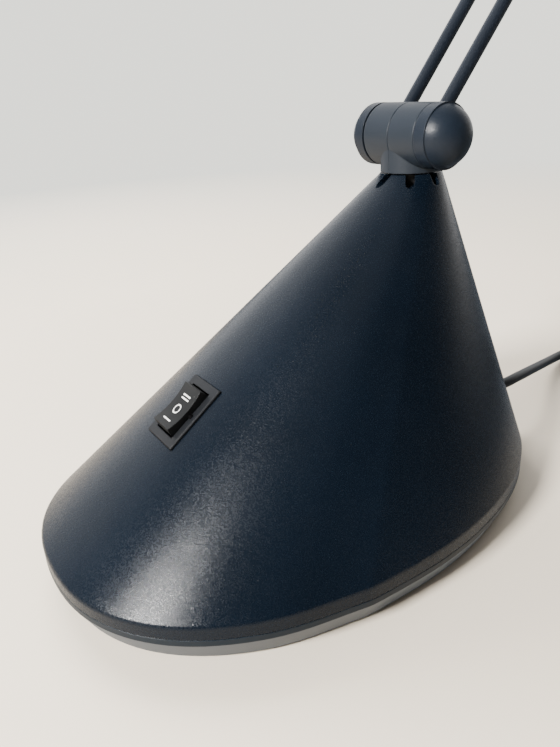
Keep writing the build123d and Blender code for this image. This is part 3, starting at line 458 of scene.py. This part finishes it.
plug_plastic = moulding("plug_moulding", (0.012, 0.014, 0.018), 0.45, grain=1800.0, depth=0.00003)
rib_row = {"Start": "vector", "Step": "vector", "Count": "int", "Length": "float", "Radius": "float"}
ribs_tree, given, last = geometry_tree("finger_ribs", rib_row)
row_inputs = {"Count": given["Count"], "Start Location": given["Start"], "Offset": given["Step"]}
row = put(ribs_tree, "GeometryNodeMeshLine", row_inputs).outputs["Mesh"]
rib_inputs = {"Vertices": 12, "Radius": given["Radius"], "Depth": given["Length"]}
rib = put(ribs_tree, "GeometryNodeMeshCylinder", rib_inputs).outputs["Mesh"]
turned = {"Points": row, "Instance": rib, "Rotation": (0, math.pi / 2, 0)}
copies = put(ribs_tree, "GeometryNodeInstanceOnPoints", turned).outputs["Instances"]
solid = put(ribs_tree, "GeometryNodeRealizeInstances", {"Geometry": copies}).outputs["Geometry"]
dressed = put(ribs_tree, "GeometryNodeSetMaterial", {"Geometry": solid, "Material": plug_plastic})
ribs_tree.links.new(dressed.outputs["Geometry"], last)
rib_values = {
    "Start": (0.0481, 0.2003, 0.01336), "Step": (0, -0.0021, 0.00009), "Count": 6,
    "Length": 0.021, "Radius": 0.0006,
}
ribs = grown("plug_ribs", ribs_tree, rib_values, plug_plastic)
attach(ribs, "base")
dress(plug_plastic, "plug_body")

strap_finish = moulding("nylon_strap", (0.018, 0.018, 0.020), 0.38, grain=700.0, depth=0.00006, dust=0.15)
dress(strap_finish, "cord_tie")

machined, given, out = shader_group(
    "machined_lines", {"Along X": 60.0, "Along Y": 60.0, "Along Z": 2400.0}, {"Lines": FLOAT, "Smudge": FLOAT}
)
place = put(machined, "ShaderNodeTexCoord").outputs["Object"]
scales = {"X": given["Along X"], "Y": given["Along Y"], "Z": given["Along Z"]}
stretch = put(machined, "ShaderNodeCombineXYZ", scales).outputs["Vector"]
drawn = put(machined, "ShaderNodeVectorMath", {0: place, 1: stretch}, operation="MULTIPLY").outputs["Vector"]
lines = put(machined, "ShaderNodeTexNoise", {"Vector": drawn, "Scale": 1.0, "Detail": 3.0}).outputs["Fac"]
smudge = put(machined, "ShaderNodeTexNoise", {"Vector": place, "Scale": 95.0, "Detail": 5.0}).outputs["Fac"]
machined.links.new(spread(machined, lines, 0.3, 0.7), out["Lines"])
machined.links.new(spread(machined, smudge, 0.35, 0.7), out["Smudge"])

METAL_EDGE = 0.0003
LINE_DEPTH = 0.000006
POLISHED_SHARE = 0.5
POLISHED_TONE = 1.4
DULLED_BY = 0.16


def bare_metal(name, colour, roughness, along, tarnish=0.6):
    """Machined or drawn metal: fine lines across one way, dull smudges and bright worn edges."""
    material, tree, shader = new_finish(name)
    sizes = dict(zip(("Along X", "Along Y", "Along Z"), along))
    marks = put(tree, "ShaderNodeGroup", sizes, node_tree=machined).outputs
    edges = put(tree, "ShaderNodeGroup", {"Radius": METAL_EDGE}, node_tree=rubbed_edges).outputs
    tone = blend_colours(tree, marks["Smudge"], colour + (1.0,), lighter(colour, tarnish))
    polished = times(tree, edges["Edge"], POLISHED_SHARE)
    tone = blend_colours(tree, polished, tone, lighter(colour, POLISHED_TONE))
    tree.links.new(tone, shader.inputs["Base Color"])
    dull = spread(tree, marks["Smudge"], 0.0, 1.0, roughness, roughness + DULLED_BY)
    tree.links.new(dull, shader.inputs["Roughness"])
    relief = {"Height": marks["Lines"], "Normal": edges["Normal"], "Strength": 1.0, "Distance": LINE_DEPTH}
    tree.links.new(put(tree, "ShaderNodeBump", relief).outputs["Normal"], shader.inputs["Normal"])
    shader.inputs["Metallic"].default_value = 1.0
    return material


dress(bare_metal("nickel_pins", (0.74, 0.73, 0.70), 0.2, (900.0, 60.0, 900.0)), "plug_pins", "capsule_pins")

# Underside: a non-slip pad of black foam rubber, and cross-head screws with zinc plating.
# The same zinc plating is on every nut, axle, spring and strap inside the lamp.
rubber, tree, shader = new_finish("foam_rubber")
place = put(tree, "ShaderNodeTexCoord").outputs["Object"]
cells = put(tree, "ShaderNodeTexVoronoi", {"Vector": place, "Scale": 1500.0}).outputs["Distance"]
worn = put(tree, "ShaderNodeTexNoise", {"Vector": place, "Scale": 40.0, "Detail": 4.0}).outputs["Fac"]
tone = blend_colours(tree, worn, (0.018, 0.018, 0.018, 1), (0.048, 0.047, 0.045, 1))
tree.links.new(tone, shader.inputs["Base Color"])
tree.links.new(spread(tree, cells, 0.0, 0.7, 0.72, 0.95), shader.inputs["Roughness"])
pores = put(tree, "ShaderNodeBump", {"Height": cells, "Strength": 0.8, "Distance": 0.0002})
tree.links.new(pores.outputs["Normal"], shader.inputs["Normal"])
dress(rubber, "base_pad")

zinc = bare_metal("zinc_plate", (0.56, 0.56, 0.55), 0.28, (220.0, 220.0, 1500.0))
dress(zinc, "pan_screws", "floor_screws", "transformer_strap", "swivel_washer", "swivel_nut")
dress(zinc, "hub_axle", "hub_axle_nut", "hub_disc_springs", "elbow_axle", "elbow_axle_nut")
dress(zinc, "head_axle", "head_axle_nut")

# Ballast: a rough iron casting screwed to the pan's floor behind the nose, which keeps the lamp down
# when the arm reaches forward.
iron, tree, shader = new_finish("cast_iron")
place = put(tree, "ShaderNodeTexCoord").outputs["Object"]
sand = put(tree, "ShaderNodeTexNoise", {"Vector": place, "Scale": 900.0, "Detail": 6.0}).outputs["Fac"]
rust = put(tree, "ShaderNodeTexNoise", {"Vector": place, "Scale": 70.0, "Detail": 6.0}).outputs["Fac"]
tone = blend_colours(tree, spread(tree, rust, 0.52, 0.72), (0.075, 0.075, 0.077, 1), (0.11, 0.06, 0.038, 1))
tree.links.new(tone, shader.inputs["Base Color"])
tree.links.new(spread(tree, sand, 0.3, 0.7, 0.55, 0.8), shader.inputs["Roughness"])
shader.inputs["Metallic"].default_value = 0.7
skin = put(tree, "ShaderNodeBump", {"Height": sand, "Strength": 0.9, "Distance": 0.0003})
tree.links.new(skin.outputs["Normal"], shader.inputs["Normal"])
dress(iron, "ballast_plate")

# Transformer: a stack of thin varnished steel plates, a nylon bobbin with two windings of enamelled
# copper wire, and its leads. It feeds the rods at low voltage, so they need no wires.


def ridged(name, valley, ridge, axis, period, roughness, metallic, depth):
    """Stacked plates or wound wire: fine ridges that follow each other along one axis."""
    material, tree, shader = new_finish(name)
    place = put(tree, "ShaderNodeTexCoord").outputs["Object"]
    wave_inputs = {"Vector": place, "Scale": math.pi / 10 / period, "Distortion": 0.4, "Detail": 1.0}
    wave = put(tree, "ShaderNodeTexWave", wave_inputs, wave_type="BANDS", bands_direction=axis)
    shade = put(tree, "ShaderNodeTexNoise", {"Vector": place, "Scale": 80.0, "Detail": 4.0}).outputs["Fac"]
    tone = blend_colours(tree, wave.outputs["Fac"], valley, ridge)
    tone = blend_colours(tree, spread(tree, shade, 0.5, 0.8, 0.0, 0.5), tone, valley)
    tree.links.new(tone, shader.inputs["Base Color"])
    gloss = spread(tree, shade, 0.3, 0.7, roughness, roughness + 0.15)
    tree.links.new(gloss, shader.inputs["Roughness"])
    shader.inputs["Metallic"].default_value = metallic
    ridges = put(tree, "ShaderNodeBump", {"Height": wave.outputs["Fac"], "Strength": 0.8, "Distance": depth})
    tree.links.new(ridges.outputs["Normal"], shader.inputs["Normal"])
    return material


plates = ridged(
    "lamination_stack", (0.12, 0.115, 0.11, 1), (0.31, 0.30, 0.29, 1), "Y", period=0.0005, roughness=0.4,
    metallic=0.8, depth=0.00012,
)
dress(plates, "transformer_core")
# The valley colour is far darker than the ridge: painted shade in the grooves between the turns of wire.
copper = ridged(
    "enamelled_copper", (0.16, 0.05, 0.018, 1), (0.60, 0.27, 0.11, 1), "Z", period=0.0006, roughness=0.25,
    metallic=0.8, depth=0.0002,
)
dress(copper, "primary_winding", "secondary_winding")
nylon = moulding("natural_nylon", (0.62, 0.58, 0.48), 0.42, grain=1200.0, depth=0.00002, dust=0.4, rub=0.0)
dress(nylon, "transformer_bobbin", "terminal_block")
dress(sheath, "inner_lead")
dress(moulding("wire_sleeve", (0.09, 0.09, 0.10), 0.4, grain=900.0, depth=0.00002, rub=0.0), "inner_wires")
dress(bare_metal("tinned_brass", (0.70, 0.56, 0.30), 0.26, (300.0, 1400.0, 300.0)), "switch_terminals")

# Rocker switch: a black moulded frame pressed into the front ridge, with a dished three-way rocker
# on a blackened pin. The marks for the two levels of light and for off are printed on it in white.
frame_finish = moulding(
    "switch_moulding", (0.005, 0.006, 0.008), 0.5, grain=1900.0, depth=0.00004, rub=0.2, shine=0.22
)
dress(frame_finish, "switch_frame")
rocker_finish = moulding(
    "rocker_moulding", (0.004, 0.0045, 0.005), 0.36, depth=0.00001, edge=0.0004, shine=0.2
)
dress(rocker_finish, "rocker")
dress(bare_metal("blackened_pin", (0.012, 0.012, 0.013), 0.5, (900.0, 200.0, 200.0)), "switch_pin")
ROCKER_PIVOT = Vector((0, -0.122698, 0.065099))
SLOPE_UP = Vector((0, 0.805602, 0.592437))
SLOPE_OUT = Vector((0, -0.592437, 0.805602))
DISH_LOW = 0.0030
DISH_R = 0.034675
MARK_LIFT = 0.00004
MARK_T = 0.00012
BAR_HALF = 0.0029
BAR_HALF_W = 0.00032
BARS_AT = (-0.0067, 0.0039, 0.0054)
RING_AT = -0.0011
RING_RADII = (0.00160, 0.00218)
RING_STEPS = 48
INK_FRESH = (0.80, 0.80, 0.78, 1)
INK_WORN = (0.42, 0.42, 0.41, 1)


def on_dish(x, y):
    """Point on the rocker's hollow face, a hair above it."""
    height = DISH_LOW + DISH_R - math.sqrt(DISH_R**2 - y**2) + MARK_LIFT
    return ROCKER_PIVOT + Vector((x, 0, 0)) + SLOPE_UP * y + SLOPE_OUT * height


mark_points = []
mark_faces = []
for middle in BARS_AT:
    first = len(mark_points)
    for y in (middle - BAR_HALF_W, middle, middle + BAR_HALF_W):
        mark_points += [on_dish(-BAR_HALF, y), on_dish(BAR_HALF, y)]
    mark_faces += [(first, first + 1, first + 3, first + 2), (first + 2, first + 3, first + 5, first + 4)]
first = len(mark_points)
for k in range(RING_STEPS):
    angle = 2 * math.pi * k / RING_STEPS
    for radius in RING_RADII:
        mark_points.append(on_dish(radius * math.cos(angle), RING_AT + radius * math.sin(angle)))
    here = first + 2 * k
    there = first + 2 * ((k + 1) % RING_STEPS)
    mark_faces.append((here, here + 1, there + 1, there))
mark_mesh = bpy.data.meshes.new("rocker_marks")
mark_mesh.from_pydata(mark_points, [], mark_faces)
ink, tree, shader = new_finish("white_print")
place = put(tree, "ShaderNodeTexCoord").outputs["Object"]
wear = put(tree, "ShaderNodeTexNoise", {"Vector": place, "Scale": 1700.0, "Detail": 5.0}).outputs["Fac"]
tone = blend_colours(tree, spread(tree, wear, 0.55, 0.75), INK_FRESH, INK_WORN)
tree.links.new(tone, shader.inputs["Base Color"])
shader.inputs["Roughness"].default_value = 0.5
mark_mesh.materials.append(ink)
marks = add(bpy.data.objects.new("rocker_marks", mark_mesh))
layer = marks.modifiers.new("ink_layer", "SOLIDIFY")
layer.thickness = MARK_T
layer.offset = -1.0
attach(marks, "rocker")

# Swivel: a blackened steel tube with a thread, which turns in a black acetal bush and is held by
# a washer and a nut below the cone's top.
acetal = moulding("acetal_bush", (0.012, 0.012, 0.013), 0.5, grain=1500.0, depth=0.00001, dust=0.1, shine=0.3)
dress(acetal, "swivel_bush")
blackened = bare_metal("blackened_tube", (0.035, 0.036, 0.040), 0.42, (200.0, 200.0, 1800.0), tarnish=0.7)
dress(blackened, "swivel_tube")

# Hub and pivots: two half shells in satin slate-black plastic close round the axle, with domed caps
# at their ends. Fibre washers and blackened drums inside give the friction.
hub_finish = moulding(
    "slate_shell", (0.0080, 0.0122, 0.0190), 0.44, grain=3200.0, depth=0.00003, dust=0.1, rub=0.1, shine=0.3
)
dress(hub_finish, "hub_shell_left", "hub_shell_right")
cap_finish = moulding("slate_cap", (0.0070, 0.0108, 0.0178), 0.36, dust=0.1, rub=0.1, shine=0.22, spark=0.08)
dress(cap_finish, "hub_caps", "elbow_caps", "head_caps")
fibre = moulding("pressed_fibre", (0.29, 0.19, 0.12), 0.75, grain=800.0, depth=0.00008, rub=0.1)
dress(fibre, "friction_washers")
dress(bare_metal("blackened_drum", (0.035, 0.036, 0.040), 0.45, (1600.0, 200.0, 200.0)), "pivot_drums")

# Arm: two pairs of thin steel rods, painted satin blue-black and insulated from each other, because
# they carry the lamp's current. Painted die-cast blocks grip their ends at the elbow and the head.
rod_finish = moulding(
    "rod_enamel", (0.0075, 0.0105, 0.0165), 0.36, grain=1300.0, depth=0.000003, dust=0.03, rub=0.0,
    edge=0.0001, shine=0.3,
)
dress(rod_finish, "lower_rods", "upper_rods")
block_finish = moulding("block_enamel", (0.023, 0.026, 0.031), 0.42, grain=2400.0, depth=0.00003, rub=0.5)
dress(block_finish, "elbow_outer_blocks", "elbow_inner_blocks", "head_inner_blocks", "head_yoke")
spacer = moulding("heat_proof_spacer", (0.018, 0.018, 0.020), 0.55, grain=2000.0, depth=0.00003)
dress(spacer, "elbow_insulator", "head_insulator", "glass_ring")

# Head: a small cone like the base, moulded in heat-proof blue-black plastic. Inside it are a satin
# pressing, a bright spun reflector with a hammered face, and a clear disc in a ring.
shade_finish = moulding(
    "shade_shell", (0.0040, 0.0075, 0.0130), 0.32, depth=0.00007, dust=0.1, rub=0.2, shine=0.26, spark=0.06
)
dress(shade_finish, "head_shade")
dress(bare_metal("satin_pressing", (0.58, 0.58, 0.57), 0.36, (1200.0, 80.0, 80.0)), "reflector_plate")
spinning, tree, shader = new_finish("hammered_reflector")
place = put(tree, "ShaderNodeTexCoord").outputs["Object"]
facet_inputs = {"Vector": place, "Scale": 330.0}
facets = put(tree, "ShaderNodeTexVoronoi", facet_inputs, feature="SMOOTH_F1").outputs["Distance"]
haze = put(tree, "ShaderNodeTexNoise", {"Vector": place, "Scale": 120.0, "Detail": 4.0}).outputs["Fac"]
tone = blend_colours(tree, haze, (0.80, 0.80, 0.79, 1), (0.90, 0.90, 0.89, 1))
tree.links.new(tone, shader.inputs["Base Color"])
tree.links.new(spread(tree, haze, 0.3, 0.7, 0.08, 0.2), shader.inputs["Roughness"])
shader.inputs["Metallic"].default_value = 1.0
dimples = put(tree, "ShaderNodeBump", {"Height": facets, "Strength": 0.5, "Distance": 0.0006})
tree.links.new(dimples.outputs["Normal"], shader.inputs["Normal"])
dress(spinning, "reflector")
ceramic = moulding("glazed_ceramic", (0.78, 0.75, 0.68), 0.3, grain=700.0, depth=0.00002, dust=0.3, rub=0.0)
dress(ceramic, "lamp_holder")


def clear_glass(name, tint, ior, cloudy):
    """Clear glass with faint finger marks in its gloss."""
    material, tree, shader = new_finish(name)
    place = put(tree, "ShaderNodeTexCoord").outputs["Object"]
    marks = put(tree, "ShaderNodeTexNoise", {"Vector": place, "Scale": 140.0, "Detail": 5.0}).outputs["Fac"]
    tree.links.new(spread(tree, marks, 0.5, 0.75, 0.01, cloudy), shader.inputs["Roughness"])
    tone = blend_colours(tree, spread(tree, marks, 0.5, 0.75), tint, lighter(tint, 0.96))
    tree.links.new(tone, shader.inputs["Base Color"])
    shader.inputs["IOR"].default_value = ior
    shader.inputs["Transmission Weight"].default_value = 1.0
    return material


dress(clear_glass("quartz_bulb", (0.97, 0.97, 0.98, 1), 1.46, 0.05), "halogen_capsule")
dress(clear_glass("front_disc", (0.96, 0.975, 0.97, 1), 1.52, 0.08), "front_glass")

# Filament: a tight coil of tungsten wire that stands in the middle of the quartz capsule.
# The lamp is off, so the wire is dull grey metal.
FILAMENT_RAISE = 0.0065
tungsten = bare_metal("tungsten_wire", (0.30, 0.29, 0.28), 0.35, (600.0, 600.0, 600.0))
coil_sizes = {
    "Foot": "vector", "Turns": "float", "Coil Radius": "float", "Height": "float", "Wire Radius": "float",
}
filament_tree, given, last = geometry_tree("filament_coil", coil_sizes)
helix_inputs = {
    "Resolution": 16, "Rotations": given["Turns"], "Start Radius": given["Coil Radius"],
    "End Radius": given["Coil Radius"], "Height": given["Height"],
}
helix = put(filament_tree, "GeometryNodeCurveSpiral", helix_inputs).outputs["Curve"]
ring_inputs = {"Resolution": 8, "Radius": given["Wire Radius"]}
ring = put(filament_tree, "GeometryNodeCurvePrimitiveCircle", ring_inputs)
drawn = {"Curve": helix, "Profile Curve": ring.outputs["Curve"], "Fill Caps": True}
wire = put(filament_tree, "GeometryNodeCurveToMesh", drawn).outputs["Mesh"]
stood = put(filament_tree, "GeometryNodeTransform", {"Geometry": wire, "Translation": given["Foot"]})
real = put(filament_tree, "GeometryNodeRealizeInstances", {"Geometry": stood.outputs["Geometry"]})
finish_inputs = {"Geometry": real.outputs["Geometry"], "Material": tungsten}
dressed = put(filament_tree, "GeometryNodeSetMaterial", finish_inputs)
filament_tree.links.new(dressed.outputs["Geometry"], last)
bulb_low, bulb_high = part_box("halogen_capsule")
foot = ((bulb_low.x + bulb_high.x) / 2, (bulb_low.y + bulb_high.y) / 2, bulb_low.z + FILAMENT_RAISE)
filament_values = {
    "Foot": foot, "Turns": 11.0, "Coil Radius": 0.0009, "Height": 0.006, "Wire Radius": 0.00014,
}
filament = grown("filament", filament_tree, filament_values, tungsten)
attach(filament, "head")
